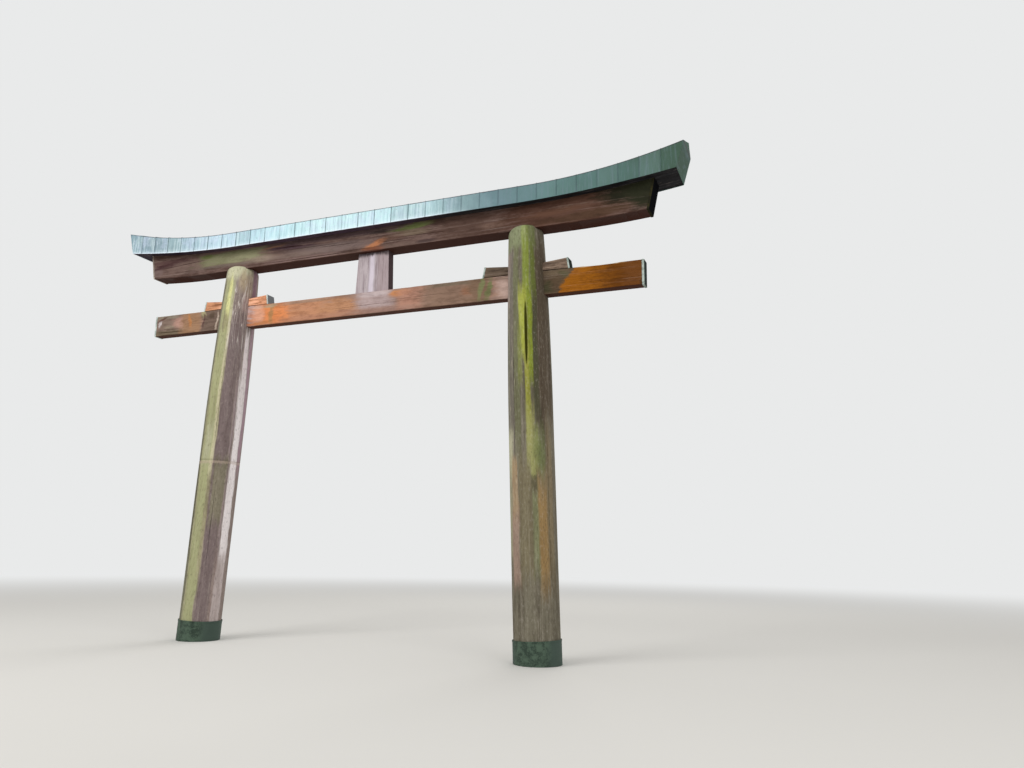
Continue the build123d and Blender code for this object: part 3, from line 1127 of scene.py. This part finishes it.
# Darker base colours than the left post's: painted shade of the trees over the right end, on top of the moss
# and stains
RIGHT_POST = Log(
    side=Side.RIGHT,
    shade="655f50",
    light="767060",
    inside="4a4a12",
    scratched=Band(-35, 3.4, 16, 1.4, "bdb4a0", 0.45, 0.4, 0.5),
    stains=(
        Band(-52, 4.4, 18, 1.9, "7f7b6e", 0.85, 0.3, 0.3),
        Band(-52, 5.5, 18, 0.4, "9c8c84", 0.85, 0.3, 0.4),
        Band(-48, 4.42, 14, 0.35, "616351", 0.75, 0.5, 0.5),
        Band(-33, 4.4, 9, 1.6, "6e685e", 0.85, 0.3, 0.3),
        Band(-16, 4.5, 9, 1.6, "6b6c4f", 0.85, 0.3, 0.3),
        Band(60, 4.6, 27, 1.4, "55493b", 0.9, 0.2, 0.3),
        Band(37, 4.2, 8, 0.9, "4a4a35", 0.85, 0.3, 0.4),
        Band(-22, 6.15, 42, 0.24, "858c69", 0.85, 0.4, 0.5),
        Band(13, 6.1, 10, 0.24, "929c60", 0.8, 0.5, 0.5),
        Band(34, 6.15, 14, 0.24, "676e42", 0.85, 0.4, 0.5),
        Band(36, 5.6, 7, 0.4, "616c2c", 0.85, 0.5, 0.4),
        Band(17, 5.58, 10, 0.5, "7e8a3a", 0.95, 0.5, 0.7),
        Band(5, 4.82, 12, 0.52, "a5ab49", 0.95, 0.25, 0.25),
        Band(-5, 4.3, 6, 0.4, "7b7f48", 0.85, 0.4, 0.3),
        Band(24, 4.65, 6, 0.65, "808c2b", 0.95, 0.35, 0.3),
        Band(14, 3.75, 6, 0.65, "939340", 0.95, 0.35, 0.3),
        Band(17, 3.0, 9, 0.4, "9c9b62", 0.85, 0.6, 1.0),
        Stain(32, 2.9, 9, 0.25, "8e955c", 0.8, 0.7, 1.0),
        Stain(23, 2.66, 6, 0.16, "9a9a64", 0.8, 0.6, 0.9),
        Band(-54, 2.85, 18, 0.3, "b5b495", 0.85, 0.4, 0.5),
        Band(-55, 2.1, 12, 0.6, "a09c80", 0.85, 0.3, 0.4),
        Band(-31, 2.3, 11, 0.5, "a58b6a", 0.85, 0.3, 0.5),
        Band(-31, 1.5, 13, 0.5, "9d8576", 0.85, 0.3, 0.5),
        Band(0, 1.95, 17, 0.85, "7a7158", 0.85, 0.3, 0.5),
        Stain(46, 2.8, 9, 0.35, "6d7549", 0.8, 0.6, 0.9),
        Band(26, 1.8, 8, 0.6, "80835f", 0.8, 0.4, 0.4),
        Band(24, 2.42, 8, 0.12, "5c543d", 0.75),
        Band(46, 1.75, 12, 0.75, "9a7c4e", 0.85, 0.4, 0.5),
        Band(68, 2.2, 10, 1.0, "83755a", 0.85, 0.4, 0.5),
        Band(146, 4.2, 12, 1.7, "7d8350", 0.75, 0.4),
        Band(118, 1.9, 12, 1.4, "8d7a5c", 0.75, 0.4),
        Band(-146, 2.4, 15, 2.1, "8f8d70", 0.75, 0.4),
        Band(-112, 4.9, 11, 1.1, "857b70", 0.75, 0.4),
        Band(-162, 5.4, 9, 0.8, "5d5a3c", 0.75, 0.4),
    ),
)

TIE_TIMBER = Timber(
    name="tie_timber",
    shade="84695b",
    light="9a7b6b",
    painted_under_shade="432215",
    wear=Wear(dusting=0.2, depth=0.45),
    stains=(
        Band(-1.28, 5.42, 0.26, 0.3, "7c6a5f", 0.9, 0.3, 0.5),
        Band(-1.36, 5.57, 0.25, 0.03, "8c8271", 0.8, 0.4, 0.5),
        Band(-1.3, 5.27, 0.4, 0.045, "6a5e4a", 0.8, 0.4, 0.5),
        Stain(-1.45, 5.45, 0.022, 0.055, "d8cfd0", 0.8, 0.8, 0.5, -15),
        Stain(-1.23, 5.38, 0.12, 0.03, "948674", 0.7, 0.5, 0.8),
        Stain(-1.4, 5.54, 0.09, 0.02, "5f4038", 0.8, 0.4, 0.8, 20),
        Stain(-1.0, 5.45, 0.16, 0.09, "b88f80", 0.8, 0.5, 0.7),
        Band(-0.76, 5.43, 0.2, 0.25, "9c785a", 0.85, 0.4, 0.5),
        Band(-0.8, 5.46, 0.02, 0.12, "c07c40", 0.55, 0.6, 0.8),
        Band(-0.22, 5.4, 0.32, 0.35, "6d5b50", 0.95, 0.12, 0.4, -12),
        Stain(-0.47, 5.57, 0.05, 0.07, "a9a27c", 0.9, 0.6, 0.9, -20),
        Band(-0.48, 5.43, 0.02, 0.12, "563637", 0.8, 0.5, 0.8, -8),
        Stain(-0.28, 5.53, 0.05, 0.07, "59493a", 0.75, 0.5, 0.9),
        Band(-0.15, 5.41, 0.022, 0.15, "c4b3a2", 0.85, 0.6, 1.0, -6),
        Band(0.5, 5.42, 0.2, 0.3, "bda39f", 0.85, 0.4),
        Stain(0.46, 5.28, 0.17, 0.07, "755f5b", 0.85),
        Band(1.1, 5.43, 0.42, 0.2, "d98651", 0.95, 0.4, 0.9),
        Stain(0.74, 5.42, 0.1, 0.12, "dda58a", 0.8, 0.6, 0.8),
        Stain(0.72, 5.56, 0.1, 0.03, "d8b09e", 0.7, 0.5, 0.8),
        Stain(0.8, 5.27, 0.14, 0.03, "b0764e", 0.8, 0.5, 0.8),
        Stain(1.0, 5.42, 0.06, 0.17, "a07c52", 0.8, 0.5, 0.6, 8),
        Stain(0.97, 5.565, 0.16, 0.03, "a9977b", 0.8, 0.5, 0.6, 3),
        Band(1.75, 5.4, 0.4, 0.3, "c08865", 0.85, 0.5, 0.8),
        Band(1.7, 5.57, 0.45, 0.03, "9b7f6c"),
        Stain(2.35, 5.4, 0.4, 0.15, "ba8763", 0.85, 0.4),
        Band(3.07, 5.47, 0.36, 0.17, "b3a09f", 0.85, 0.5, 0.8),
        Stain(3.05, 5.56, 0.3, 0.05, "c0b0b0"),
        Band(3.15, 5.27, 0.65, 0.05, "98786c", 0.8, 0.6, 0.8),
        Band(2.0, 5.27, 0.65, 0.05, "ae7d64", 0.8, 0.6, 0.8),
        Stain(3.56, 5.53, 0.18, 0.06, "c18356", 0.9, 0.4, 0.8),
        Band(3.78, 5.43, 0.2, 0.17, "b2836f", 0.8, 0.5, 0.8),
        Band(4.4, 5.42, 0.42, 0.25, "856b5a", 0.85, 0.4, 0.5),
        Band(4.5, 5.57, 0.4, 0.03, "706353", 0.8, 0.5, 0.5),
        Stain(4.7, 5.42, 0.05, 0.06, "9a6142", 0.6, 0.8, 1.4),
        Stain(4.78, 5.56, 0.14, 0.035, "63574a", 0.75, 0.5, 0.7),
        Stain(4.82, 5.27, 0.16, 0.04, "6c5540", 0.75, 0.5, 0.7),
        Band(4.9, 5.43, 0.2, 0.3, "775f4c", 0.9, 0.4, 0.5),
        Band(4.92, 5.44, 0.042, 0.2, "757b52", 0.85, 0.5, 0.7, -16),
        Band(5.08, 5.44, 0.04, 0.2, "687046", 0.85, 0.5, 0.7, -20),
        Band(5.43, 5.42, 0.21, 0.3, "bca297", 0.9, 0.4, 0.7, -8),
        Band(5.27, 5.565, 0.2, 0.035, "7c6658", 0.8, 0.5, 0.7),
        Band(5.2, 5.26, 0.14, 0.03, "8f766a", 0.8, 0.5, 0.7),
        Band(6.6, 5.42, 0.55, 0.4, "935702", 0.98, 0.1, 0.35),
        Band(7.25, 5.4, 0.45, 0.4, "653802", 0.95, 0.6),
        Band(5.93, 5.43, 0.36, 0.6, "524434", 0.97, 0.08, 0.25, -27),
        Stain(6.1, 5.56, 0.25, 0.05, "695a48"),
        Stain(6.28, 5.52, 0.09, 0.04, "575339", 0.75, 0.5, 0.8, -30),
        Stain(6.04, 5.34, 0.1, 0.09, "3b3a24", 0.8, 0.5, 0.8),
        Band(6.8, 5.597, 0.3, 0.01, "b9986a"),
        Band(7.46, 5.42, 0.035, 0.3, "4c3218", 0.8, 0.3, 0.4),
    ),
)

LINTEL_TIMBER = Timber(
    name="lintel_timber",
    shade="554039",
    light="6c5750",
    painted_under_shade="3a1c12",
    wear=Wear(dusting=0.2, depth=0.4),
    stains=(
        Stain(-1.6, 6.45, 0.14, 0.09, "74605c", 0.85, 0.4),
        Stain(-1.3, 6.55, 0.42, 0.05, "3c2224", 0.92, 0.5, 0.7, 5),
        Stain(-1.35, 6.62, 0.4, 0.03, "523a38", 0.8, 0.4, 0.5),
        Stain(-0.95, 6.48, 0.4, 0.09, "735f57"),
        # Painted shade under the roof's overhang along the top of the front face
        Band(2.3, 6.62, 1.3, 0.045, "503f42", 0.8, 0.5, 0.7),
        Band(0.1, 6.53, 0.68, 0.11, "7a7a5b", 0.9, 0.3, 0.6, 1),
        Stain(-0.42, 6.6, 0.16, 0.035, "5a6336", 0.85, 0.6, 0.9),
        Stain(-0.8, 6.36, 0.16, 0.03, "55413b", 0.8, 0.5, 0.7),
        Stain(0.3, 6.48, 0.34, 0.07, "8c8a6c"),
        Stain(0.0, 6.39, 0.7, 0.03, "71635a"),
        Stain(0.8, 6.42, 0.35, 0.06, "8f7f70"),
        Stain(1.0, 6.6, 0.26, 0.02, "7b5b46", 0.85, 0.4, 0.6, 4),
        Stain(1.75, 6.49, 0.62, 0.035, "564642", 0.8, 0.6, 0.8),
        Stain(3.1, 6.595, 0.24, 0.035, "352b28", 0.85, 0.6, 0.8),
        Stain(1.4, 6.555, 0.45, 0.04, "46333a", 0.9, 0.5, 0.8, -2),
        Stain(2.2, 6.43, 0.8, 0.08, "746460", 0.75),
        Stain(1.5, 6.4, 0.6, 0.04, "78665e", 0.75),
        Band(1.65, 6.315, 0.6, 0.03, "816a64", 0.85),
        Stain(3.08, 6.4, 0.2, 0.045, "b5764f", 0.95, 0.5, 0.5, 14),
        Stain(3.05, 6.31, 0.2, 0.03, "7c4b34", 0.85, 0.5, 0.5),
        Stain(3.42, 6.47, 0.3, 0.05, "5c4439", 0.75, 0.6, 0.8, 8),
        Stain(3.75, 6.6, 0.36, 0.05, "667040", 0.9, 0.4, 0.6, 4),
        Stain(3.75, 6.5, 0.3, 0.05, "756654", 0.7),
        Stain(3.6, 6.31, 0.4, 0.04, "6e5a52"),
        Band(4.75, 6.45, 0.55, 0.2, "503b32", 0.8, 0.5, 0.8),
        Stain(4.0, 6.32, 0.2, 0.035, "463634", 0.85, 0.5, 0.7),
        Stain(5.15, 6.42, 0.2, 0.05, "70594e"),
        Band(6.3, 6.5, 0.9, 0.4, "523629", 0.85, 0.5, 0.7),
        Stain(6.2, 6.5, 0.5, 0.05, "5f4233", 0.7, 0.5, 0.6, 5),
        Stain(6.9, 6.4, 0.8, 0.07, "4d3728", 0.8, 0.5, 0.8, 4),
        # Near-black green patches at the right end: painted shade of the leaves over that end
        Stain(7.33, 6.75, 0.55, 0.28, "202214", 0.95, 0.5, 0.9),
        Stain(7.6, 6.6, 0.35, 0.25, "242616", 0.95, 0.4),
    ),
)

STRUT_TIMBER = Timber(
    name="strut_timber",
    shade="93868a",
    light="b3a7aa",
    painted_under_shade="3a2e2f",
    painted_flank_shade="463638",
    wear=Wear(dusting=0.15, depth=0.16),
    grain=Grain.UPRIGHT,
    stains=(
        Band(2.97, 5.9, 0.045, 0.6, "cfc5cf", 0.9, 0.5, 0.3),
        Band(3.2, 5.9, 0.12, 0.6, "9f8e90", 0.7, 0.3, 0.3),
        # Painted shadow of the lower lintel across the strut's top
        Band(2.98, 6.275, 0.4, 0.05, "372b2e", 0.9, 0.8, 0.5),
    ),
)

LEFT_WEDGE_TIMBER = Timber(
    name="left_wedge_timber",
    shade="d18f69",
    light="ebb08f",
    painted_under_shade="6b4630",
    stains=(Band(-0.4, 5.68, 0.3, 0.2, "c88c66", 0.8, 0.3, 0.4),),
)
RIGHT_WEDGE_TIMBER = Timber(
    name="right_wedge_timber",
    shade="68574a",
    light="887362",
    painted_under_shade="3d3126",
    stains=(Band(5.35, 5.7, 0.4, 0.2, "524539", 0.8, 0.3, 0.4),),
)
# Near-black, with dark purple patches: painted shade of the soffit and of the face under the copper's
# overhang
ROOF_TIMBER = Timber(
    name="roof_timber",
    shade="1b1a1d",
    light="26262a",
    stains=(
        Band(1.5, 6.7, 2.4, 1.0, "4f3d4c", 0.95, 0.4, 0.4),
        Band(-1.6, 6.8, 0.8, 1.0, "372838", 0.8, 0.6, 0.4),
    ),
)

# From about x 4.5 the stops darken the copper towards its right end: painted shade of the trees over that end
ROOF_COPPER = Copper(
    name="roof_copper",
    stops=(
        (-2.25, "7b98a6"),
        (-1.5, "859ba4"),
        (-0.8, "9db9c4"),
        (-0.2, "b2ccd9"),
        (0.6, "b4d4df"),
        (1.4, "b8dae2"),
        (2.2, "c4e4e6"),
        (3.5, "bcdde3"),
        (4.5, "8aa6ab"),
        (5.2, "647f86"),
        (6.1, "5a7a78"),
        (7.0, "4b6963"),
        (8.15, "3c5546"),
    ),
)
COLLAR_COPPER = Sheet("collar_copper", "2f3d33", "4f6152", "43524a")
# The right-hand cap and lintel sheets are darker copies of the left-hand ones: painted shade of the trees
# over the right end, deepest on their end faces
LEFT_CAP_SHEET = Sheet("left_cap_sheet", "97a099", "c8d0ca", "65686d", gloss=0.1)
RIGHT_CAP_SHEET = Sheet("right_cap_sheet", "7c8880", "b0bbb4", "131a19", metallic=0.0, gloss=0.0)
LEFT_LINTEL_SHEET = Sheet("left_lintel_sheet", "75695f", "a0948a", "15161c", metallic=0.0, gloss=0.0)
RIGHT_LINTEL_SHEET = Sheet("right_lintel_sheet", "24231b", "35321f", "0e0f15", metallic=0.0, gloss=0.0)


# Posts, beams and roof


@dataclass(frozen=True)
class LogCheck:
    """A drying check down a log, by its angle round the axis and its two heights."""

    angle: float
    low: float
    high: float
    width: float
    depth: float = 0.05


@dataclass
class Post:
    """One leaning log, hewn round, split by drying and let into the beams that it carries."""

    finish: Log
    checks: tuple[LogCheck, ...]
    worn: tuple[Blade, ...] = ()
    head_height: float = 6.345
    shoulder: float = 0.125
    shoulder_steps: int = 8
    sunk: float = 0.4
    facets: int = 96
    rings: int = 90
    ring_gap: float = 0.001
    groove: float = 0.006
    groove_share: float = 0.975

    @property
    def side(self) -> Side:
        """The end that the post stands at."""
        return self.finish.side

    def axis(self, height: float) -> Vector:
        """Point of the axis at a height."""
        return Vector((self.side.foot - self.side.value * height * math.tan(LEAN), 0.0, height))

    def blade(self, check: LogCheck) -> Blade:
        """Lay out the tool that opens a drying check.

        Args:
            check: The check.

        Returns:
            The tool.
        """
        height = (check.low + check.high) / 2
        angle = math.radians(check.angle)
        out = Vector((math.sin(angle), -math.cos(angle), 0.0)) * (LOG.level - LOG.offset(height))
        turn = Matrix.Rotation(-self.side.value * LEAN, 3, "Y") @ Matrix.Rotation(angle, 3, "Z")
        half = (check.width / 2, check.depth, (check.high - check.low) / 2)
        return Blade(tuple(self.axis(height) + out), half, tuple(turn.to_euler()))

    def turn_log(self) -> Piece:
        """Turn the plain upright log, drawn in towards a rounded head.

        Returns:
            The log, with its foot at the origin.
        """
        stretch = 1 / math.cos(LEAN)
        length = (self.head_height + self.sunk) * stretch
        bpy.ops.mesh.primitive_cylinder_add(
            vertices=self.facets, radius=LOG.level, depth=length, location=(0.0, 0.0, length / 2)
        )
        log = adopt(f"{self.side.word}_post_log")
        bpy.ops.object.mode_set(mode="EDIT")
        pick(log, Part.EDGES, lambda edge: all(v.co.z > length - self.shoulder for v in edge.verts))
        bpy.ops.mesh.bevel(offset=self.shoulder, segments=self.shoulder_steps, affect="EDGES")
        pick(log, Part.EDGES, lambda edge: edge.calc_length() > self.head_height / 2)
        bpy.ops.mesh.subdivide(number_cuts=self.rings)
        drawn = 0.0
        for level in sorted(v.co.z for v in bmesh.from_edit_mesh(log.data).verts):
            share = 1 - LOG.offset(level / stretch - self.sunk) / LOG.level
            if share < 1 and level > drawn + self.ring_gap:
                self.draw_in(log, level, share)
                drawn = level
        bpy.ops.object.mode_set(mode="OBJECT")
        return log

    def draw_in(self, log: Piece, level: float, share: float) -> None:
        """Draw one ring of the upright log in to a share of its width."""
        pick(log, Part.CORNERS, lambda v: abs(v.co.z - level) < self.ring_gap)
        bpy.ops.transform.resize(value=(share, share, 1.0), center_override=(0.0, 0.0, level))

    def cut_joint(self, log: Piece, height: float) -> None:
        """Cut the groove of a butt joint round the upright log.

        Args:
            log: The log.
            height: The joint's height above the ground.
        """
        level = (height + self.sunk) / math.cos(LEAN)
        bpy.ops.object.mode_set(mode="EDIT")
        for step in (-self.groove, 0.0, self.groove):
            bpy.ops.mesh.select_all(action="SELECT")
            bpy.ops.mesh.bisect(plane_co=(0.0, 0.0, level + step), plane_no=(0.0, 0.0, 1.0))
        self.draw_in(log, level, self.groove_share)
        bpy.ops.object.mode_set(mode="OBJECT")

    def lean_over(self, log: Piece) -> None:
        """Lean the upright log to its place, with its foot still sunk in the ground.

        Args:
            log: The log.
        """
        log.location = self.axis(-self.sunk)
        log.rotation_euler = (0.0, -self.side.value * LEAN, 0.0)
        settle(log)

    def build(self) -> None:
        """Hew, split and joint the log."""
        log = self.turn_log()
        weather(log, stretch=(0.5, 0.5, 3.5), depth=0.012, seed_shift=1.7 * self.side.value)
        weather(log, stretch=(0.06, 0.06, 2.0), depth=0.007, seed_shift=4.1 * self.side.value)
        if self.finish.joint is not None:
            self.cut_joint(log, self.finish.joint)
        self.lean_over(log)
        carve(log, [self.blade(check) for check in self.checks])
        carve(log, self.worn)
        node = f"{self.side.word}_post"
        cut(log, copy_of(node, "joinery"), Cut.KEEP_SHARED)
        deliver(log, self.finish.make(), [node])


@dataclass
class Posts:
    """The two logs and the sheet sleeves round their feet."""

    left_checks: tuple[LogCheck, ...] = (
        LogCheck(20.5, 3.2, 5.3, 0.007, 0.03),
        LogCheck(68.3, 1.1, 4.9, 0.008, 0.03),
        LogCheck(-52.0, 1.4, 4.4, 0.012),
        LogCheck(140.0, 0.9, 5.0, 0.016),
        LogCheck(-128.0, 2.2, 5.7, 0.014),
        LogCheck(178.0, 0.8, 3.1, 0.01),
        LogCheck(38.0, 0.9, 2.6, 0.006, 0.03),
    )
    right_checks: tuple[LogCheck, ...] = (
        LogCheck(12.5, 4.12, 5.25, 0.05, 0.05),
        LogCheck(-27.0, 2.8, 5.6, 0.008, 0.03),
        LogCheck(62.0, 0.9, 3.4, 0.01),
        LogCheck(128.0, 1.6, 5.4, 0.016),
        LogCheck(-108.0, 0.8, 4.3, 0.015),
        LogCheck(-170.0, 2.6, 5.8, 0.012),
    )
    left_worn: tuple[Blade, ...] = (
        Blade((0.53, -0.18, 6.37), (0.16, 0.24, 0.11), (0.0, 0.6, -0.4)),
        Blade((0.03, -0.2, 6.4), (0.1, 0.16, 0.08), (0.0, -0.3, 0.4)),
    )

    def build(self) -> None:
        """Build the logs and dress their collars."""
        Post(LEFT_POST, self.left_checks, self.left_worn).build()
        Post(RIGHT_POST, self.right_checks).build()
        dress(["left_post_collar", "right_post_collar"], COLLAR_COPPER.make())


@dataclass
class Beam:
    """A squared timber whose faces are split by drying and whose arrises are worn."""

    node: str
    finish: Timber
    slot: str
    checks: int = 0
    hollows: int = 0
    seed: int = 1
    marks: tuple[Blade, ...] = ()
    stretch: tuple[Point, Point] | None = None
    lower_only: bool = False
    check_length: tuple[float, float] = (0.5, 1.6)
    check_width: tuple[float, float] = (0.003, 0.008)
    check_depth: float = 0.02
    check_tilt: float = 0.012
    check_across: tuple[float, float] = (0.15, 0.85)
    hollow_length: tuple[float, float] = (0.05, 0.4)
    hollow_bite: tuple[float, float] = (0.006, 0.013)
    end_margin: float = 0.1
    upright: bool = False
    smooth_up_to: float = 5.0

    def check_blades(self, low: Vector, high: Vector, chance: random.Random) -> list[Blade]:
        """Tools for the drying checks of the front and rear faces.

        Args:
            low: Lowest corner of the timber's level stretch.
            high: Highest corner.
            chance: Seeded source of the scatter.

        Returns:
            The tools.
        """
        blades = []
        for number in range(self.checks):
            length = chance.uniform(*self.check_length)
            width = chance.uniform(*self.check_width)
            face = low.y if number % 2 else high.y
            tilt = chance.uniform(-self.check_tilt, self.check_tilt)
            across = chance.uniform(*self.check_across)
            if self.upright:
                half = (width / 2, self.check_depth, length / 2)
                z = chance.uniform(low.z + length / 2, high.z - length / 2)
                at = (low.x + (high.x - low.x) * across, face, z)
            else:
                half = (length / 2, self.check_depth, width / 2)
                x = chance.uniform(low.x + length / 2, high.x - length / 2)
                at = (x, face, low.z + (high.z - low.z) * across)
            blades.append(Blade(at, half, (0.0, tilt, 0.0)))
        return blades

    def hollow_blades(self, low: Vector, high: Vector, chance: random.Random) -> list[Blade]:
        """Tools for the worn hollows of the upper and lower arrises.

        Args:
            low: Lowest corner of the timber's level stretch.
            high: Highest corner.
            chance: Seeded source of the scatter.

        Returns:
            The tools.
        """
        blades = []
        for number in range(self.hollows):
            length = chance.uniform(*self.hollow_length)
            bite = chance.uniform(*self.hollow_bite)
            level = low.z if self.lower_only or number % 3 == 0 else high.z
            face = (low.y, high.y)[number % 2]
            x = chance.uniform(low.x + self.end_margin, high.x - self.end_margin)
            blades.append(Blade((x, face, level), (length / 2, bite, bite)))
        return blades

    def build(self) -> None:
        """Copy the CAD timber and carve it."""
        low, high = (Vector(corner) for corner in self.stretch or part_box(self.node))
        chance = random.Random(self.seed)
        timber = copy_of(self.node, f"{self.node}_timber")
        carve(timber, self.check_blades(low, high, chance))
        carve(timber, self.hollow_blades(low, high, chance))
        carve(timber, self.marks)
        deliver(timber, self.finish.make(), [self.node], self.smooth_up_to)


@dataclass
class Beams:
    """The tie beam, its wedges, the strut and the lower lintel, with the sheet on their ends."""

    tie_marks: tuple[Blade, ...] = (
        Blade((6.85, -0.085, 5.605), (0.3, 0.03, 0.018)),
        Blade((-1.3, -0.085, 5.225), (0.2, 0.02, 0.014)),
        Blade((-1.2, -0.088, 5.285), (0.3, 0.03, 0.005), (0.0, 0.02, 0.0)),
    )
    lintel_marks: tuple[Blade, ...] = (
        Blade((-1.0, -0.155, 6.52), (0.5, 0.03, 0.004), (0.0, -0.06, 0.0)),
        Blade((1.8, -0.155, 6.318), (0.9, 0.02, 0.005)),
        Blade((7.1, 0.155, 6.55), (0.45, 0.03, 0.005), (0.0, -0.06, 0.0)),
        Blade((1.35, -0.158, 6.56), (0.32, 0.02, 0.012), (0.0, 0.02, 0.0)),
    )
    lintel_stretch: tuple[Point, Point] = ((-0.4, -0.155, 6.28), (6.3, 0.155, 6.62))
    wedge_seed: int = 11
    arris_reach: float = 0.7
    arris_depth: float = 0.02
    arris_bite: float = 0.01

    def build(self) -> None:
        """Build the timbers and dress the sheet on their ends."""
        self.build_long_timbers()
        cap = {Side.LEFT: LEFT_CAP_SHEET.make(), Side.RIGHT: RIGHT_CAP_SHEET.make()}
        lintel_cap = {Side.LEFT: LEFT_LINTEL_SHEET.make(), Side.RIGHT: RIGHT_LINTEL_SHEET.make()}
        wedge = {Side.LEFT: LEFT_WEDGE_TIMBER, Side.RIGHT: RIGHT_WEDGE_TIMBER}
        for side in Side:
            for number, place in enumerate(("outer", "inner")):
                node = f"{side.word}_{place}_wedge"
                self.build_wedge(node, wedge[side], self.wedge_seed + 2 * number + side.value)
                dress([f"{node}_cap"], cap[side])
            dress([f"tie_beam_{side.word}_cap"], cap[side])
            dress([f"lower_lintel_{side.word}_cap"], lintel_cap[side])

    def build_long_timbers(self) -> None:
        """Build the tie beam, the strut on it and the lower lintel."""
        Beam(
            node="tie_beam",
            finish=TIE_TIMBER,
            slot="tie_timber",
            checks=14,
            hollows=30,
            seed=9,
            marks=self.tie_marks,
            check_width=(0.0015, 0.004),
        ).build()
        Beam(
            node="centre_strut",
            finish=STRUT_TIMBER,
            slot="strut_timber",
            checks=6,
            seed=5,
            check_length=(0.25, 0.5),
            upright=True,
        ).build()
        Beam(
            node="lower_lintel",
            finish=LINTEL_TIMBER,
            slot="lintel_timber",
            checks=16,
            hollows=18,
            seed=7,
            marks=self.lintel_marks,
            stretch=self.lintel_stretch,
            lower_only=True,
        ).build()

    def build_wedge(self, node: str, finish: Timber, seed: int) -> None:
        """Build a wedge whose lower front arris is worn off along its whole length.

        Args:
            node: The wedge's CAD node.
            finish: Its finish.
            seed: Seed of its drying checks.
        """
        low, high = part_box(node)
        middle = ((low[0] + high[0]) / 2, low[1], low[2])
        length = high[0] - low[0]
        worn = Blade(middle, (length * self.arris_reach, self.arris_depth, self.arris_bite))
        Beam(
            node=node,
            finish=finish,
            slot="wedge_timber",
            checks=4,
            seed=seed,
            check_length=(0.15, 0.35),
            marks=(worn,),
        ).build()


@dataclass
class Roof:
    """The top lintel and its copper, with the folded seams between the pans."""

    half_width: float = 0.305
    pitch: float = math.radians(16)
    seam_count: int = 32
    seam_width: float = 0.009
    seam_height: float = 0.006
    seam_arris: float = 0.002
    ridge_clear: float = 0.066
    mid_height: float = (HEM.level + EAVES.level) / 2

    def fold_seam(self) -> Piece:
        """Model one seam at the middle of the front: up the side and over the slope.

        Returns:
            The seam.
        """
        outer = -self.half_width - self.seam_height / 2
        bpy.ops.mesh.primitive_cube_add(
            size=1.0,
            location=(MIDDLE, outer, self.mid_height),
            scale=(self.seam_width, self.seam_height, EAVES.level - HEM.level),
        )
        seam = adopt("seam")
        mitre = self.seam_height * (1 / math.cos(self.pitch) - math.tan(self.pitch))
        run = self.half_width - self.ridge_clear
        bpy.ops.object.mode_set(mode="EDIT")
        pick(seam, Part.CORNERS, lambda v: v.co.z > self.mid_height and v.co.y < outer)
        bpy.ops.transform.translate(value=(0.0, 0.0, mitre))
        pick(seam, Part.FACES, lambda f: f.normal.z > 0.5)
        slope = (0.0, run, run * math.tan(self.pitch))
        bpy.ops.mesh.extrude_region_move(TRANSFORM_OT_translate={"value": slope})
        # The long edges that are square: calc_face_angle is in radians, and the ends' edges are short
        pick(seam, Part.EDGES, lambda e: e.calc_length() > 0.1 and e.calc_face_angle(0.0) > 1.0)
        bpy.ops.mesh.bevel(offset=self.seam_arris, segments=1, affect="EDGES")
        bpy.ops.object.mode_set(mode="OBJECT")
        return seam

    def place_seam(self, model: Piece, number: int) -> Piece:
        """Copy the seam to its station, where the roof stands higher and deeper.

        Args:
            model: The seam at the middle.
            number: The station, counted from the left.

        Returns:
            The copy.
        """
        distance = (number - (self.seam_count - 1) / 2) * SEAM_SPACING
        seam = twin(model, model.name)
        alone(seam)
        bpy.ops.object.mode_set(mode="EDIT")
        for upper, lift in ((True, EAVES.offset(distance)), (False, HEM.offset(distance))):
            pick(seam, Part.CORNERS, lambda v: (v.co.z > self.mid_height) is upper)
            bpy.ops.transform.translate(value=(distance, 0.0, lift))
        bpy.ops.object.mode_set(mode="OBJECT")
        return seam

    def build(self) -> None:
        """Dress the copper and lay the seams on both sides."""
        dress(["top_lintel"], ROOF_TIMBER.make())
        copper = ROOF_COPPER.make()
        dress([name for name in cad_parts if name.startswith("roof_")], copper)
        model = self.fold_seam()
        front = join([self.place_seam(model, n) for n in range(self.seam_count)], "roof_front_seams")
        bpy.data.objects.remove(model)
        rear = twin(front, "roof_rear_seams")
        rear.location = (2 * MIDDLE, 0.0, 0.0)
        rear.rotation_euler = (0.0, 0.0, math.pi)
        settle(rear)
        for seams in (front, rear):
            deliver(seams, copper)


def main() -> None:
    """Build the studio, then the gateway from the ground up."""
    logging.basicConfig(level=logging.INFO, format="%(name)s: %(message)s")
    bpy.ops.object.select_all(action="DESELECT")
    Studio().build()
    Viewpoint().build()
    Posts().build()
    Beams().build()
    Roof().build()


if __name__ == "__main__":
    main()
